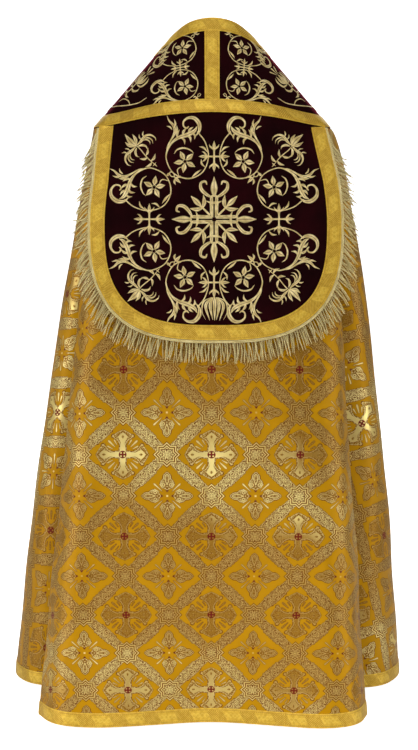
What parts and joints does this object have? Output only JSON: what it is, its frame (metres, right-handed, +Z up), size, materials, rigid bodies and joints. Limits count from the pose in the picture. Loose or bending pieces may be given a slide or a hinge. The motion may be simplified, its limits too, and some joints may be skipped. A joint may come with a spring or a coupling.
{
  "type": "cope vestment",
  "caption": "Hollow worn-form liturgical cope: semicircular brocade cape, velvet front bands and shield hood edged with gold braid and fringe, clasped at the chest.",
  "frame": {"origin": "middle of the neck opening, level with the top edge of the back of the neck, where the wearer's neck and shoulders carry the cope", "axes": "+Z up, +Y to the wearer's back, +X to the wearer's left"},
  "size_m": [0.844, 0.6926, 1.4117],
  "materials": {
    "brocade": "gold satin brocade with a metallic lattice of crosses and leaves",
    "velvet": "very dark burgundy pile velvet with raised gold thread embroidery",
    "galloon": "woven metallic gold braid, 30 mm",
    "header_braid": "pale gold braid",
    "fringe": "loose twisted pale gold strands, 40 mm",
    "gilt": "polished gilt metal"
  },
  "bodies": {
    "root": {"body_back": "brocade", "body_left": "brocade", "body_right": "brocade", "orphrey_left": "velvet", "orphrey_right": "velvet", "hood_velvet": "velvet", "galloon_edge": "galloon", "galloon_centre_back": "galloon", "galloon_hood_line": "galloon", "galloon_inner_left": "galloon", "galloon_inner_right": "galloon", "galloon_hem_back": "galloon", "galloon_hem_left": "galloon", "galloon_hem_right": "galloon", "hood_galloon": "galloon", "fringe_header": "header_braid", "hood_fringe": "fringe", "clasp_plate_left": "gilt", "clasp_plate_right": "gilt", "clasp_link": "gilt"}
  },
  "joints": []
}
